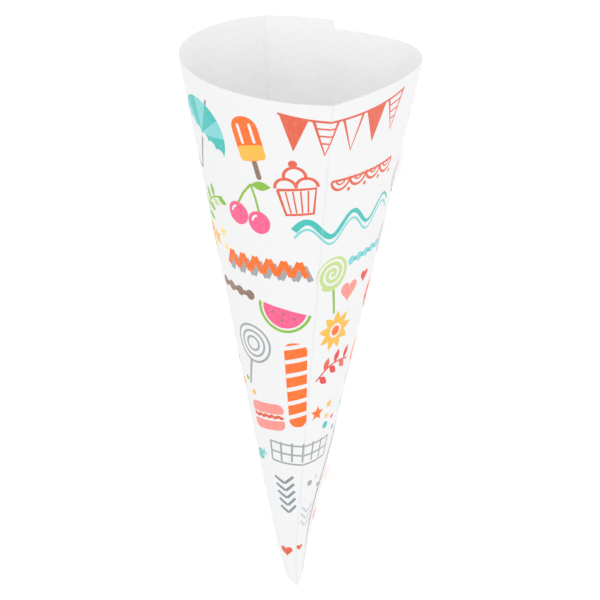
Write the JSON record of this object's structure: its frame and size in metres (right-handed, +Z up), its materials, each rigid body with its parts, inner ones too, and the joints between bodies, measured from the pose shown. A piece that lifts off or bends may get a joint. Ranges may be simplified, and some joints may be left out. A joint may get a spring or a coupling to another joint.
{
  "type": "paper ice-cream cone sleeve",
  "caption": "Printed paper cone sleeve for a hand-held ice-cream cone: one folded and glued sheet with an open mouth, a lapped seam and a cut tip.",
  "frame": {"origin": "on the ground, under the middle of the part's box", "axes": "the cone lies on its flat back: +Y runs from the tip to the open mouth, +Z up from the ground through the front crease, +X to the right seen from above with the mouth away"},
  "size_m": [0.0726, 0.1731, 0.0711],
  "materials": {
    "paper": "smooth matt white paper, printed in colours on the outside"
  },
  "bodies": {
    "root": {"paper_cone": "paper"}
  },
  "joints": []
}
